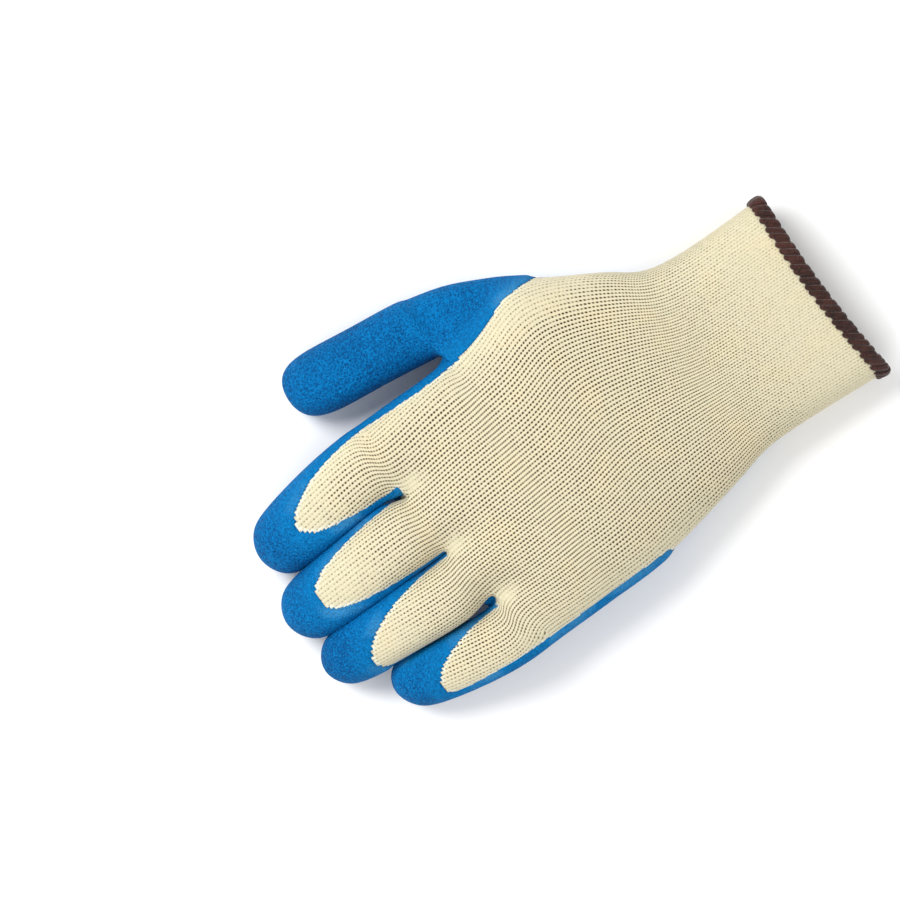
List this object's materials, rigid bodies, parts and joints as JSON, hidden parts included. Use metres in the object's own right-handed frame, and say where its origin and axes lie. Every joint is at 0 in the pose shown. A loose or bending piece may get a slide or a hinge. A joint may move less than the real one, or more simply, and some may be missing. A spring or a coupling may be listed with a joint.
{
  "type": "latex coated grip glove",
  "caption": "Seamless knitted work glove for the left hand, with a crinkled latex coat on the palm, thumb and fingertips, a bare knit back and an overlocked cuff.",
  "frame": {"origin": "under the middle of the glove, on the surface that it lies on", "axes": "+Y from the cuff to the fingertips, +Z out of the back of the hand, +X to the thumb side"},
  "size_m": [0.1498, 0.25, 0.0411],
  "materials": {
    "knit": "cream cotton and polyester knit with fine ribs and dark flecks",
    "latex": "blue natural latex with a fine crinkle, half matt",
    "hem": "dark brown overlock thread"
  },
  "bodies": {
    "root": {"knit_liner": "knit", "latex_coat": "latex", "cuff_hem": "hem"}
  },
  "joints": []
}
